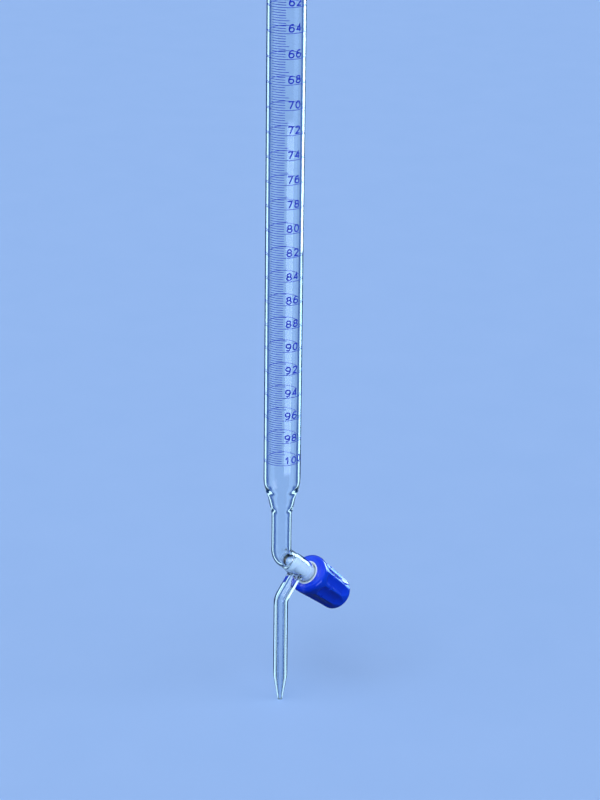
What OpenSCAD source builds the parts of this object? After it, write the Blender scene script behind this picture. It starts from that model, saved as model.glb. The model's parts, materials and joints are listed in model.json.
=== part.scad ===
// Burette with a screw needle valve: a graduated glass tube, flame-sealed to a bent neck,
// an oblique valve barrel and a drawn delivery jet, with a plunger that a fluted knob screws in and out.
// Millimetres. The origin is the middle of the jet's end face, +Z runs up the tube and +X points to the knob.

/* [Graduated tube] */
// Outside diameter of the graduated tube
tube_od = 17.6; // [16:0.1:20]
// Wall of the graduated tube
tube_wall = 1.34; // [1:0.02:2]
// Length from the zero line to the lowest line
scale_length = 572; // [400:1:650]
// Plain tube above the zero line
above_scale = 70; // [50:1:90]
// Plain tube between the lowest line and the shoulder
below_scale = 11.7; // [8:0.1:30]
// Height of the drawn-in shoulder
shoulder_h = 4.5; // [3.5:0.1:6]

/* [Reducing cone] */
// Outside diameter at the top of the cone
cone_top_od = 15; // [14:0.1:15.6]
// Height of the cone
cone_h = 10.5; // [8:0.1:16]
// Wall of the cone
cone_wall = 1.4; // [1:0.1:1.8]
// Step from the neck out to the foot of the cone
cone_step = 0.35; // [0.1:0.05:0.8]
// Radius of the bead that a flame seal leaves in the wall
seal_bead = 1; // [0.9:0.05:1.2]

/* [Neck] */
// Outside diameter of the neck
neck_od = 9.7; // [9:0.1:11]
// Wall of the neck
neck_wall = 1.3; // [1:0.1:1.8]
// Height of the neck above the point where its axis meets the valve axis
neck_rise = 24.1; // [18:0.1:40]
// Straight run of the neck from its bend to the glass behind the seat
neck_run = 3.1; // [2.6:0.1:3.6]

/* [Valve barrel] */
// Angle of the valve axis below the horizontal
valve_tilt = 42; // [38:1:48]
// Distance of the valve seat from the tube axis, level
seat_offset = 5.6; // [5.2:0.1:8]
// Outside diameter of the barrel
barrel_od = 10.5; // [9.8:0.1:11]
// Bore of the barrel
barrel_bore = 8.2; // [7.8:0.1:8.6]
// Length of the barrel from its seat
barrel_length = 29.5; // [26:0.5:31]
// Hole through the seat
seat_hole_d = 3; // [2.6:0.1:3.6]
// Glass behind the seat
seat_back = 1.4; // [1:0.1:2]
// Distance along the valve axis from the seat to the side arm
arm_from_seat = 8.6; // [7.6:0.1:9]

/* [Delivery jet] */
// Outside diameter of the jet
jet_od = 7; // [6:0.1:7.6]
// Bore of the jet
jet_bore = 3.2; // [2:0.1:3.6]
// Height at which the jet's slanting and upright axes meet
jet_corner_h = 55.7; // [45:0.1:80]
// Radius of the jet's bend
jet_bend_r = 6; // [5:0.5:10]
// Height of the drawn tip
taper_h = 14; // [8:0.5:20]
// Outside diameter at the end of the tip
tip_od = 2.2; // [1.6:0.1:3]
// Orifice at the end of the tip
tip_bore = 0.9; // [0.6:0.1:1.2]

/* [Plunger] */
// Length of the metering needle ahead of the seat
needle_h = 1.2; // [0.6:0.1:1.4]
// Diameter at the point of the needle
needle_tip_d = 1; // [0.6:0.1:1.4]
// Diameter at the root of the needle
needle_root_d = 2.5; // [2:0.1:2.5]
// Diameter of the slim shank that leaves room for the liquid
shank_d = 6.6; // [5.6:0.1:7]
// Margin between the jet's port and the piston
port_margin = 1.8; // [1.5:0.1:3]
// Length of the piston
piston_length = 12; // [11:0.5:13]
// Bevel at the ends of the piston
piston_bevel = 0.5; // [0.2:0.1:0.7]
// Diameter of the stem between the piston and the button
stem_d = 5; // [4:0.1:5.4]
// Diameter of the button that the knob holds
button_d = 7.2; // [6.8:0.1:7.6]
// Thickness of the button
button_h = 2.2; // [1.6:0.1:3]

/* [Seal rings] */
// Thickness of the seal rings
seal_section = 1.1; // [0.9:0.05:1.3]
// Distance from the piston's front to the first seal ring
seal_inset = 5; // [3:0.1:5.5]
// Distance between the two seal rings
seal_pitch = 3.6; // [3:0.1:4]

/* [Knob] */
// Distance from the seat to the knob's mouth when the valve is shut
mouth_from_seat = 15.3; // [14:0.1:17]
// Length of the knob
knob_length = 28.7; // [27:0.1:31]
// Largest diameter, just behind the lip
knob_od = 20; // [19.4:0.1:23]
// Diameter at the closed end
knob_end_od = 16.9; // [16.4:0.1:18.5]
// Radius of the rounded lip at the mouth
lip_r = 2.6; // [1.5:0.1:3]
// Radius of the rounded edge at the closed end
end_edge_r = 1.8; // [1:0.1:2.4]
// Thickness of the closed end
end_wall = 2.4; // [2:0.1:3]
// Number of finger flutes
flutes = 9; // [6:1:9]
// Radius of a flute
flute_r = 8; // [7:0.1:9]
// Widest that a flute may cut
flute_w = 5.8; // [5:0.1:6]
// Depth of a flute
flute_depth = 0.95; // [0.4:0.05:1.1]
// Distance from the mouth to the start of the flutes
flute_start = 4.4; // [4:0.1:6]
// Length over which a flute fades in and out
flute_fade = 2.2; // [1:0.1:4]
// Distance from the ends of the flutes to the closed end
flute_end = 2; // [1.8:0.1:4]
// Turn of the ribs from the side arm when the valve is shut
rib_turn = 5; // [0:1:20]
// Distance from the mouth to the groove round the grip
groove_from_mouth = 10.5; // [8:0.1:14]
// Width of the groove round the grip
groove_w = 0.9; // [0.5:0.1:1.5]
// Depth of the groove round the grip
groove_depth = 0.6; // [0.3:0.05:0.9]

/* [Thread sleeve] */
// Length of the sleeve that runs on the glass thread
sleeve_length = 14; // [11:0.5:15]
// Wall of the sleeve where it shows in the mouth
sleeve_lip_wall = 0.78; // [0.5:0.02:1]
// Wall of the sleeve inside the knob
sleeve_wall = 1.6; // [1.2:0.1:1.8]
// Depth of the thin lip of the sleeve
sleeve_lip = 1.4; // [0.8:0.1:2]

/* [Button socket] */
// Wall of the socket round the button
socket_wall = 1.6; // [1.4:0.1:1.8]
// Length of the socket from the closed end
socket_length = 5.3; // [5.1:0.1:6]
// Thickness of the thrust washer
washer_h = 0.8; // [0.5:0.1:1]
// Thickness of the snap ring
ring_h = 1; // [0.8:0.1:1.2]
// How far the snap ring springs into the socket wall
ring_bite = 0.75; // [0.5:0.05:0.9]
// Gap between the ends of the snap ring
ring_gap = 2.6; // [1.5:0.1:4]

/* [Clearances] */
// Axial gap between the plunger's cone and the seat, when shut
seat_clearance = 0.07; // [0.02:0.01:0.1]
// Radial gap of the piston in the barrel
piston_clearance = 0.05; // [0.02:0.01:0.1]
// Radial gap of the seal rings in the barrel and over their grooves
seal_clearance = 0.03; // [0.02:0.01:0.05]
// Radial gap of the sleeve over the glass thread
thread_clearance = 0.07; // [0.04:0.01:0.1]
// Gap round the button in its socket, and beside the rings
button_clearance = 0.1; // [0.05:0.01:0.15]
// Radial gap of the washer round the stem
stem_clearance = 0.08; // [0.05:0.01:0.1]
// Radial gap of the snap ring round the stem
ring_clearance = 0.2; // [0.15:0.01:0.4]
// Gap beside a ring in its groove
groove_clearance = 0.05; // [0.03:0.01:0.1]

/* [Hidden] */
$fn = 96;

glass = "#cfe3f2";
ptfe = "#f4f5f3";
rubber = "#2b2d30";
knob_blue = "#1740d8";
sleeve_white = "#e6edf3";
steel = "#b9bdc2";

// Radii
tube_r = tube_od / 2;
cone_top_r = cone_top_od / 2;
neck_r = neck_od / 2;
cone_low_r = neck_r + cone_step;
barrel_r = barrel_od / 2;
bore_r = barrel_bore / 2;
neck_bore_r = neck_r - neck_wall;
seat_r = seat_hole_d / 2;
jet_r = jet_od / 2;
jet_bore_r = jet_bore / 2;
piston_r = bore_r - piston_clearance;
shank_r = shank_d / 2;
stem_r = stem_d / 2;
button_r = button_d / 2;

// The valve plane: the seat, the point where the jet leaves the valve axis, and the neck's corner
jet_run = (seat_offset + arm_from_seat * cos(valve_tilt)) / sin(valve_tilt);
seat_h = jet_corner_h + jet_run * cos(valve_tilt) + arm_from_seat * sin(valve_tilt);
neck_corner_h = seat_h + seat_offset * tan(valve_tilt);
neck_turn = 90 - valve_tilt;
barrel_back = seat_back + neck_run;
neck_tangent = seat_offset / cos(valve_tilt) - barrel_back;
neck_bend_r = neck_tangent / tan(neck_turn / 2);
neck_bend_h = neck_corner_h + neck_tangent;
jet_tangent = jet_bend_r * tan(valve_tilt / 2);
jet_bend_h = jet_corner_h - jet_tangent;
arm_length = jet_run - jet_tangent;

// Heights up the tube
neck_top_h = neck_corner_h + neck_rise;
cone_top_h = neck_top_h + cone_h;
shoulder_top_h = cone_top_h + shoulder_h;
rim_h = shoulder_top_h + below_scale + scale_length + above_scale;

// Places along the valve axis, from the seat
seat_cone_h = bore_r - seat_r;
funnel_start = -seat_back - (neck_bore_r - seat_r);
piston_front = arm_from_seat + jet_bore_r + port_margin;
piston_end = piston_front + piston_length;
first_seal = piston_front + seal_inset;
second_seal = first_seal + seal_pitch;
knob_end = mouth_from_seat + knob_length;
socket_floor = knob_end - end_wall;
button_end = socket_floor - button_clearance;
button_start = button_end - button_h;
washer_end = button_start - button_clearance;
washer_start = washer_end - washer_h;
ring_start = washer_start - ring_h;

// Seal rings and their grooves
seal_r = seal_section / 2;
seal_mid_r = bore_r - seal_clearance - seal_r;
seal_floor_r = seal_mid_r - seal_r - seal_clearance;

// The knob's inside
sleeve_bore_r = barrel_r + thread_clearance;
sleeve_mouth_r = sleeve_bore_r + sleeve_lip_wall;
sleeve_r = sleeve_bore_r + sleeve_wall;
socket_bore_r = button_r + button_clearance;
socket_r = socket_bore_r + socket_wall;
ring_r = socket_bore_r + ring_bite;

// The knob's tapered side touches the lip's arc and the end's arc at one common angle
lip_centre = [knob_od / 2 - lip_r, lip_r];
edge_centre = [knob_end_od / 2 - end_edge_r, knob_length - end_edge_r];
arc_step = edge_centre - lip_centre;
side_slope = atan2(arc_step[1], arc_step[0]) - acos((lip_r - end_edge_r) / norm(arc_step));
side_normal = [cos(side_slope), sin(side_slope)];
side_start = lip_centre + lip_r * side_normal;

// Steps in a drawn arc, and how far a cut runs past the face that it opens
arc_steps = 12;
spare = 1;

// Radius of the knob's side at a distance from its mouth
function side_r(place) = side_start[0] - (place - side_start[1]) * tan(side_slope);

// Points of an arc about a centre, from one angle to another
function arc(centre, r, from, to) = [
  for (i = [0 : arc_steps])
    let (a = from + (to - from) * i / arc_steps) centre + r * [cos(a), sin(a)]
];

// Points of an arc that leaves a wall of radius r at a height and draws it in by drop over h, downwards
function drawn_in(r, top, h, drop) =
  let (sweep = (h * h + drop * drop) / (2 * drop)) arc([r - sweep, top], sweep, 0, -asin(h / sweep));

// The same list from its last point to its first
function reversed(points) = [for (i = [len(points) - 1 : -1 : 0]) points[i]];

// Puts its children on the valve axis: +Z outwards from the seat, +X along the jet's side arm
module on_valve_axis() {
  translate([seat_offset, 0, seat_h]) rotate([0, 90 + valve_tilt, 0]) children();
}

// Half of a flame-seal bead in the middle of a wall, above or below the seal's height
module half_bead(r, wall, h, side) {
  intersection() {
    translate([r - wall / 2, h]) circle(r = seal_bead);
    translate([0, side > 0 ? h : h - 2 * seal_bead]) square([2 * r, 2 * seal_bead]);
  }
}

// Bent tube in the XZ plane that leaves the tube's axis at a height, upwards or downwards, and turns to +X
module bent_tube(r, wall, bend_r, height, turn, upwards) {
  translate([bend_r, 0, height]) rotate([upwards ? -90 : 90, 0, 0]) rotate([0, 0, 180])
    rotate_extrude(angle = turn) translate([bend_r, 0]) difference() {
      circle(r = r);
      circle(r = r - wall);
    }
}

// Straight graduated wall with a fire-polished rim, drawn in at the foot to its first seal
module graduated_tube() {
  half_wall = tube_wall / 2;
  drop = tube_r - cone_top_r;
  color(glass) {
    rotate_extrude() polygon(concat(
      arc([tube_r - half_wall, rim_h - half_wall], half_wall, 180, 0),
      drawn_in(tube_r, shoulder_top_h, shoulder_h, drop),
      reversed(drawn_in(tube_r - tube_wall, shoulder_top_h, shoulder_h, drop))
    ));
    rotate_extrude() half_bead(cone_top_r, cone_wall, cone_top_h, 1);
  }
}

// Cone that brings the tube down to the neck, with half of each seal
module reducing_cone() {
  color(glass) rotate_extrude() {
    polygon([
      [cone_low_r, neck_top_h], [cone_top_r, cone_top_h],
      [cone_top_r - cone_wall, cone_top_h], [cone_low_r - cone_wall, neck_top_h]
    ]);
    half_bead(cone_top_r, cone_wall, cone_top_h, -1);
    half_bead(cone_low_r, cone_wall, neck_top_h, 1);
  }
}

// Neck with the bend that turns the liquid into the valve
module neck_tube() {
  color(glass) {
    rotate_extrude() {
      translate([neck_bore_r, neck_bend_h]) square([neck_wall, neck_top_h - neck_bend_h]);
      half_bead(cone_low_r, cone_wall, neck_top_h, -1);
    }
    bent_tube(neck_r, neck_wall, neck_bend_r, neck_bend_h, neck_turn, false);
  }
}

// Oblique barrel: the end of the neck with a funnel to the seat's hole, the conical seat,
// the side arm for the jet and a fire-polished mouth
module valve_barrel() {
  mouth_wall = barrel_r - bore_r;
  color(glass) on_valve_axis() difference() {
    union() {
      rotate_extrude() {
        polygon([
          [0, -barrel_back], [neck_r, -barrel_back], [neck_r, -seat_back], [barrel_r, seat_cone_h],
          [barrel_r, barrel_length - mouth_wall / 2], [0, barrel_length - mouth_wall / 2]
        ]);
      }
      translate([0, 0, arm_from_seat]) rotate([0, 90, 0]) cylinder(r = jet_r, h = arm_length);
      translate([0, 0, barrel_length - mouth_wall / 2]) rotate_extrude()
        translate([bore_r + mouth_wall / 2, 0]) intersection() {
          circle(d = mouth_wall);
          translate([-mouth_wall, 0]) square(2 * mouth_wall);
        }
    }
    rotate_extrude() polygon([
      [0, -barrel_back - spare], [neck_bore_r, -barrel_back - spare], [neck_bore_r, funnel_start],
      [seat_r, -seat_back], [seat_r, 0], [bore_r, seat_cone_h],
      [bore_r, barrel_length + spare], [0, barrel_length + spare]
    ]);
    translate([0, 0, arm_from_seat]) rotate([0, 90, 0]) cylinder(r = jet_bore_r, h = arm_length + spare);
  }
}

// Jet that bends from the side arm back onto the tube's axis and is drawn out to a fine tip
module delivery_jet() {
  color(glass) {
    rotate_extrude() polygon([
      [jet_bore_r, jet_bend_h], [jet_r, jet_bend_h], [jet_r, taper_h], [tip_od / 2, 0],
      [tip_bore / 2, 0], [jet_bore_r, taper_h]
    ]);
    bent_tube(jet_r, jet_r - jet_bore_r, jet_bend_r, jet_bend_h, valve_tilt, true);
  }
}

// Plunger: metering needle, sealing cone, slim shank, piston with two grooves, stem and button
module plunger() {
  needle_root_r = needle_root_d / 2;
  cone_shift = seat_clearance - seat_r;
  color(ptfe) on_valve_axis() rotate_extrude() difference() {
    polygon([
      [0, -needle_h], [needle_tip_d / 2, -needle_h],
      [needle_root_r, needle_root_r + cone_shift], [shank_r, shank_r + cone_shift],
      [shank_r, piston_front], [piston_r - piston_bevel, piston_front],
      [piston_r, piston_front + piston_bevel], [piston_r, piston_end - piston_bevel],
      [piston_r - piston_bevel, piston_end], [stem_r, piston_end],
      [stem_r, button_start], [button_r, button_start], [button_r, button_end], [0, button_end]
    ]);
    for (seal = [first_seal, second_seal])
      translate([seal_floor_r, seal - seal_r - groove_clearance])
        square([bore_r, seal_section + 2 * groove_clearance]);
  }
}

// Round-section seal ring in its groove in the piston
module seal_ring(place) {
  color(rubber) on_valve_axis() translate([0, 0, place]) rotate_extrude()
    translate([seal_mid_r, 0]) circle(r = seal_r);
}

module front_seal_ring() {
  seal_ring(first_seal);
}

module rear_seal_ring() {
  seal_ring(second_seal);
}

// Finger flutes down the tapered side, fading in behind the lip and out before the closed end,
// with narrow ribs left between them
module finger_flutes() {
  out = flute_r - flute_depth;
  run = knob_length - flute_start - flute_end;
  for (i = [0 : flutes - 1])
    rotate([0, 0, 360 * (i + 0.5) / flutes - rib_turn])
      translate([side_r(flute_start) + out * side_normal[0], 0, flute_start + out * side_normal[1]])
        rotate([0, -side_slope, 0]) intersection() {
          rotate_extrude()
            polygon([[0, 0], [out, 0], [flute_r, flute_fade], [flute_r, run - flute_fade], [out, run], [0, run]]);
          translate([-flute_r - spare, -flute_w / 2, -spare]) cube([2 * spare + flute_depth, flute_w, run + 2 * spare]);
        }
}

// Half section of the knob: rounded lip, tapered side with its groove, rounded closed end,
// and inside it the button's socket with the snap ring's groove, and the seat of the sleeve
module knob_section() {
  floor_at = knob_length - end_wall;
  socket_mouth = floor_at - socket_length;
  ring_low = ring_start - groove_clearance - mouth_from_seat;
  ring_high = ring_start + ring_h - mouth_from_seat;
  groove_end = groove_from_mouth + groove_w;
  polygon(concat(
    [[sleeve_mouth_r, 0]],
    arc(lip_centre, lip_r, -90, side_slope),
    [
      [side_r(groove_from_mouth), groove_from_mouth],
      [side_r(groove_from_mouth) - groove_depth, groove_from_mouth],
      [side_r(groove_end) - groove_depth, groove_end], [side_r(groove_end), groove_end]
    ],
    arc(edge_centre, end_edge_r, side_slope, 90),
    [
      [0, knob_length], [0, floor_at], [socket_bore_r, floor_at],
      [socket_bore_r, ring_high], [ring_r + groove_clearance, ring_high],
      [ring_r + groove_clearance, ring_low], [socket_bore_r, ring_low],
      [socket_bore_r, socket_mouth], [socket_r, socket_mouth], [socket_r, floor_at],
      [sleeve_mouth_r, floor_at], [sleeve_mouth_r, sleeve_length], [sleeve_r, sleeve_length],
      [sleeve_r, sleeve_lip], [sleeve_mouth_r, sleeve_lip]
    ]
  ));
}

// Moulded knob, closed at its outer end
module knob_shell() {
  color(knob_blue) on_valve_axis() translate([0, 0, mouth_from_seat]) difference() {
    rotate_extrude() knob_section();
    finger_flutes();
  }
}

// White sleeve in the knob that runs on the glass thread and shows as a pale ring in the mouth
module thread_sleeve() {
  color(sleeve_white) on_valve_axis() translate([0, 0, mouth_from_seat]) difference() {
    union() {
      cylinder(r = sleeve_mouth_r, h = sleeve_lip);
      translate([0, 0, sleeve_lip]) cylinder(r = sleeve_r, h = sleeve_length - sleeve_lip);
    }
    translate([0, 0, -spare]) cylinder(r = sleeve_bore_r, h = sleeve_length + 2 * spare);
  }
}

// Washer between the button and the snap ring
module thrust_washer() {
  color(ptfe) on_valve_axis() translate([0, 0, washer_start]) difference() {
    cylinder(r = socket_bore_r - button_clearance, h = washer_h);
    translate([0, 0, -spare]) cylinder(r = stem_r + stem_clearance, h = washer_h + 2 * spare);
  }
}

// Split ring that springs into the socket's groove and holds the button in
module snap_ring() {
  color(steel) on_valve_axis() translate([0, 0, ring_start]) difference() {
    cylinder(r = ring_r, h = ring_h);
    translate([0, 0, -spare]) cylinder(r = stem_r + ring_clearance, h = ring_h + 2 * spare);
    translate([0, -ring_gap / 2, -spare]) cube([2 * ring_r, ring_gap, ring_h + 2 * spare]);
  }
}

graduated_tube();
reducing_cone();
neck_tube();
valve_barrel();
delivery_jet();
plunger();
front_seal_ring();
rear_seal_ring();
knob_shell();
thread_sleeve();
thrust_washer();
snap_ring();
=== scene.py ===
# %% [markdown]
# # A glass burette with a screw needle valve
#
# A burette lets a measured amount of liquid out of a graduated glass tube. At its foot a fluted knob screws
# a white plunger off a glass seat, and the liquid leaves through a fine jet. The moving parts already exist
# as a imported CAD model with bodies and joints. This lesson dresses that model: it builds finer meshes in
# the same places, gives each surface a finish made of shader nodes, and sets up the camera and the light.

# %% Load the frame
import json
import math

import bmesh
import bpy
import numpy as np
from mathutils import Matrix, Vector


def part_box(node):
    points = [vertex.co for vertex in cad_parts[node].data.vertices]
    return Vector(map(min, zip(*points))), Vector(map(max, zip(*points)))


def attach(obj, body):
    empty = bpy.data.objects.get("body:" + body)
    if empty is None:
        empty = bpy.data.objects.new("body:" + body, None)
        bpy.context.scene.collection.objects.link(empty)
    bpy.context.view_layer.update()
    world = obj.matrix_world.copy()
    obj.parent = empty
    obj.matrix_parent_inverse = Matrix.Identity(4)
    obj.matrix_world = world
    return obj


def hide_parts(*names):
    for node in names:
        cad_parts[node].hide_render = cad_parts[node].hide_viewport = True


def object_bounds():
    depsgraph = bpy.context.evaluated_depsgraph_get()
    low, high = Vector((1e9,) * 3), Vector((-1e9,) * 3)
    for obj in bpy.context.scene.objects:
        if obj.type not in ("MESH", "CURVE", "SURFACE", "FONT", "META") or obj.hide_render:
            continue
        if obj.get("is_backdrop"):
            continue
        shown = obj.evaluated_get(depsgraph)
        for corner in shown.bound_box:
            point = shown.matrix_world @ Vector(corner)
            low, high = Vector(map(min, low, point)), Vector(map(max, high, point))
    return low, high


MM = 0.001
scene = bpy.context.scene
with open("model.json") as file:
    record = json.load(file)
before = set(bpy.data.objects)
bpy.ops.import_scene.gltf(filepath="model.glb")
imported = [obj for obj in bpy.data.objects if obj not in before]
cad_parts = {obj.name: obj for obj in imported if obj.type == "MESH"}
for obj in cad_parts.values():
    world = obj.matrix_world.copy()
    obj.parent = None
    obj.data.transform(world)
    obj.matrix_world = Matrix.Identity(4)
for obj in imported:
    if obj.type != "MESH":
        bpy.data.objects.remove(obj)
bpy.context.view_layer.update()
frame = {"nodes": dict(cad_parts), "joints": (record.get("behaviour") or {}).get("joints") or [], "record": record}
print("packed pieces:", sorted(frame["nodes"]))

# %% [markdown]
# ## Places that the frame gives
#
# The looks have to sit exactly on the CAD. One could copy every coordinate, but then a change of the model
# would leave them behind. So the valve's axis and seat come from the knob's joint, the tube's radii from
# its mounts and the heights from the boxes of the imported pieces. Lengths are millimetres, as on a drawing.

# %% Valve axis, radii and heights
joints = {joint["name"]: joint for joint in frame["joints"]}
mounts = {mount["name"]: mount for mount in frame["record"]["mounts"]}
knob_turn = joints["knob_turn"]


def node_box(node):
    """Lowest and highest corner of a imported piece, in millimetres."""
    low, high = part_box(node)
    return np.array(low) / MM, np.array(high) / MM


seat = np.array(knob_turn["pos_m"]) / MM
outwards = np.array(knob_turn["axis"]) / np.linalg.norm(knob_turn["axis"])
across = np.array([0.0, 1.0, 0.0])
side_arm = np.cross(across, outwards)
tilt = math.asin(-outwards[2])
tube_r = mounts["clamp_grip"]["dims"]["r_mm"]
tube_bore_r = mounts["filling_mouth"]["dims"]["r_mm"]
rim_h = node_box("graduated_tube")[1][2]
upper_seal_h = node_box("graduated_tube")[0][2]
lower_seal_h = node_box("reducing_cone")[0][2]
print("seat", seat.round(2), "tilt", round(math.degrees(tilt), 1), "rim", round(rim_h, 1))

# %% [markdown]
# ## Camera
#
# The photograph looks down on the valve from the side of the figures, with a long lens. A camera can be
# placed by eye, but two measured facts do it better: how far the lens looks down, and which pixel a known
# point falls on. The focal length is kept in pixels of a picture 800 high, and Blender's lens follows from
# the 36 mm sensor.

# %% Camera at the photograph's angle
PICTURE = (600, 800)
SENSOR = 36
focal_px = 2200
azimuth = math.radians(-43.5)
pitch = math.radians(22.3)
roll = math.radians(0.74)
aim_h = 160.3
aim_pixel = (282.8, 400.5)
reach = 1033

level_right = Vector((math.cos(azimuth), math.sin(azimuth), 0))
towards = Vector(
    (math.sin(azimuth) * math.cos(pitch), -math.cos(azimuth) * math.cos(pitch), math.sin(pitch))
)
right = level_right * math.cos(roll) + towards.cross(level_right) * math.sin(roll)
up = towards.cross(right)
shift = [(aim_pixel[i] - PICTURE[i] / 2) * reach / focal_px for i in (0, 1)]
camera_at = Vector((0, 0, aim_h)) + towards * reach - right * shift[0] + up * shift[1]

camera = bpy.data.objects.new("camera", bpy.data.cameras.new("camera"))
scene.collection.objects.link(camera)
camera.data.lens = SENSOR * focal_px / PICTURE[1]
camera.data.sensor_width = SENSOR
camera.data.clip_end = 100
turn = Matrix((right, up, towards)).transposed().to_4x4()
camera.matrix_world = Matrix.Translation(camera_at * MM) @ turn
scene.camera = camera
facing = math.atan2(towards.y, towards.x)
print("lens", round(camera.data.lens, 1), "mm, camera at", [round(x) for x in camera_at])

# %% [markdown]
# ## Shader sums as Python sums
#
# A finish is a small calculation: take a noise, squeeze it, mix two colours by it. Wiring that by hand
# hides the idea, so a wire here is an object that can be added, multiplied and compared, and each operator
# adds a Math node.


# %% Wires
class Wire:
    """An output socket that takes part in sums: each operator adds a Math node."""

    def __init__(self, finish, socket):
        self.finish = finish
        self.socket = socket

    def sum(self, operation, first, second):
        return self.finish.node("Math", {"operation": operation}, {0: first, 1: second})

    def __add__(self, other):
        return self.sum("ADD", self, other)

    def __sub__(self, other):
        return self.sum("SUBTRACT", self, other)

    def __rsub__(self, other):
        return self.sum("SUBTRACT", other, self)

    def __mul__(self, other):
        return self.sum("MULTIPLY", self, other)

    def __gt__(self, other):
        return self.sum("GREATER_THAN", self, other)

    __radd__ = __add__
    __rmul__ = __mul__


print("wires can be added, multiplied and compared")

# %% [markdown]
# ## Finishes
#
# Every other node comes from one method, which sets a node's settings first and then its sockets, because
# some sockets only appear with a setting. A few short names on top of it, such as mix, step, noise and
# bump, stand for the nodes that nearly every finish needs.


# %% Node trees
class Finish:
    """The node tree of a material or of the world, and the one method that adds nodes to it."""

    def __init__(self, owner):
        owner.use_nodes = True
        self.owner = owner
        self.tree = owner.node_tree
        self.tree.nodes.clear()

    def node(self, kind, settings=None, sockets=None, output=0):
        made = self.tree.nodes.new("ShaderNode" + kind)
        for name, value in (settings or {}).items():
            setattr(made, name, value)
        for key, value in (sockets or {}).items():
            if isinstance(value, Wire):
                self.tree.links.new(value.socket, made.inputs[key])
            else:
                made.inputs[key].default_value = value
        return Wire(self, made.outputs[output]) if made.outputs else None

    def mix(self, share, first, second):
        return self.node("Mix", {"data_type": "RGBA"}, {0: share, 6: first, 7: second}, 2)

    def step(self, value, low, high):
        return self.node("MapRange", {"interpolation_type": "SMOOTHSTEP"}, {0: value, 1: low, 2: high})

    def noise(self, size, detail=3, stretch=(1, 1, 1)):
        spot = self.node("TexCoord", output="Object")
        scaled = self.node("Mapping", sockets={"Vector": spot, "Scale": stretch})
        return self.node("TexNoise", sockets={"Vector": scaled, "Scale": 1 / (size * MM), "Detail": detail})

    def bump(self, height, depth):
        return self.node("Bump", sockets={"Height": height, "Distance": depth * MM})

    def principled(self, **sockets):
        named = {}
        for name, value in sockets.items():
            named[name.replace("_", " ").title().replace("Ior", "IOR")] = value
        return self.node("BsdfPrincipled", sockets=named)

    def use(self, shader):
        self.node("OutputMaterial", sockets={"Surface": shader})
        return self.owner


def new_finish(name):
    return Finish(bpy.data.materials.new(name))


print("finishes can be made")

# %% [markdown]
# ## Glass
#
# Drawn glass is clear but never perfect: drawing leaves faint streaks along the tube, and handling a slight
# haze. A Principled shader with full transmission bends the light, and a shallow bump adds the streaks.
# Lamp light would stop at such a surface and leave a black shadow, so a Transparent shader takes over for
# rays from lamps.

# %% Clear drawn glass
glass = new_finish("drawn_glass")
streaks = glass.noise(size=1.6, stretch=(1, 1, 0.02))
haze = glass.noise(size=9, detail=4)
clear_glass = glass.principled(
    base_color=glass.mix(streaks, (0.97, 0.99, 1.0, 1), (0.93, 0.98, 1.0, 1)),
    roughness=haze * 0.008,
    ior=1.473,
    transmission_weight=1.0,
    normal=glass.bump(streaks, depth=0.002),
)
lamp_light = glass.node("BsdfTransparent", sockets={"Color": (0.9, 0.95, 0.98, 1)})
from_lamp = glass.node("LightPath", output="Is Shadow Ray")
glass_finish = glass.use(glass.node("MixShader", sockets={0: from_lamp, 1: clear_glass, 2: lamp_light}))
print("made", glass_finish.name)

# %% [markdown]
# ## Blue enamel of the scale
#
# The lines and figures are a thin enamel fired onto the glass. It is a strong blue, a little uneven where
# it was screened on, and half glossy. Two blues mixed by a fine noise, with the same noise in roughness and
# bump, look right at any distance, where one flat colour would look like tape.

# %% Fired enamel
enamel = new_finish("fired_enamel")
patches = enamel.noise(size=0.5)
enamel_finish = enamel.use(
    enamel.principled(
        base_color=enamel.mix(patches, (0.004, 0.02, 0.55, 1), (0.008, 0.04, 0.85, 1)),
        roughness=0.42 + patches * 0.25,
        specular_ior_level=0.2,
        normal=enamel.bump(patches, depth=0.006),
    )
)
print("made", enamel_finish.name)

# %% [markdown]
# ## White plunger
#
# The plunger is turned from a waxy white fluoropolymer. Its sign is the fine spiral of the lathe tool,
# which shows as rings across the axis. A one-dimensional noise along the valve's axis gives those rings on
# every face of the piece, however it is shaped, and a soft cloud keeps the colour from being flat. The two
# colours are a darkened grey-blue rather than white: painted shade and a painted blue cast of the blue
# surroundings.


# %% Turned fluoropolymer
def from_seat(finish):
    """Where a point lies, counted from the valve's seat."""
    spot = finish.node("TexCoord", output="Object")
    return finish.node("VectorMath", {"operation": "SUBTRACT"}, {0: spot, 1: tuple(seat * MM)})


def along_valve(finish):
    """How many millimetres out along the valve's axis a point lies."""
    factors = {0: from_seat(finish), 1: tuple(outwards / MM)}
    return finish.node("VectorMath", {"operation": "DOT_PRODUCT"}, factors, "Value")


ptfe = new_finish("turned_fluoropolymer")
marks_along = {"W": along_valve(ptfe), "Scale": 5, "Detail": 3}
tool_marks = ptfe.node("TexNoise", {"noise_dimensions": "1D"}, marks_along)
cloud = ptfe.noise(size=3)
# Base colours: painted shade and a painted blue cast of the surroundings over the plunger's white; the cloud
# between them is real.
ptfe_finish = ptfe.use(
    ptfe.principled(
        base_color=ptfe.mix(cloud, (0.56, 0.7, 0.86, 1), (0.64, 0.77, 0.9, 1)),
        roughness=0.34 + tool_marks * 0.2,
        normal=ptfe.bump(tool_marks, depth=0.012),
    )
)
print("made", ptfe_finish.name)

# %% [markdown]
# ## Seal rubber
#
# Moulded seal rings are a soft black with a fine bloom on the surface. A speckle of two dark greys and a
# strong roughness is enough, because they only show through the glass when the valve is opened.

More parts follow.
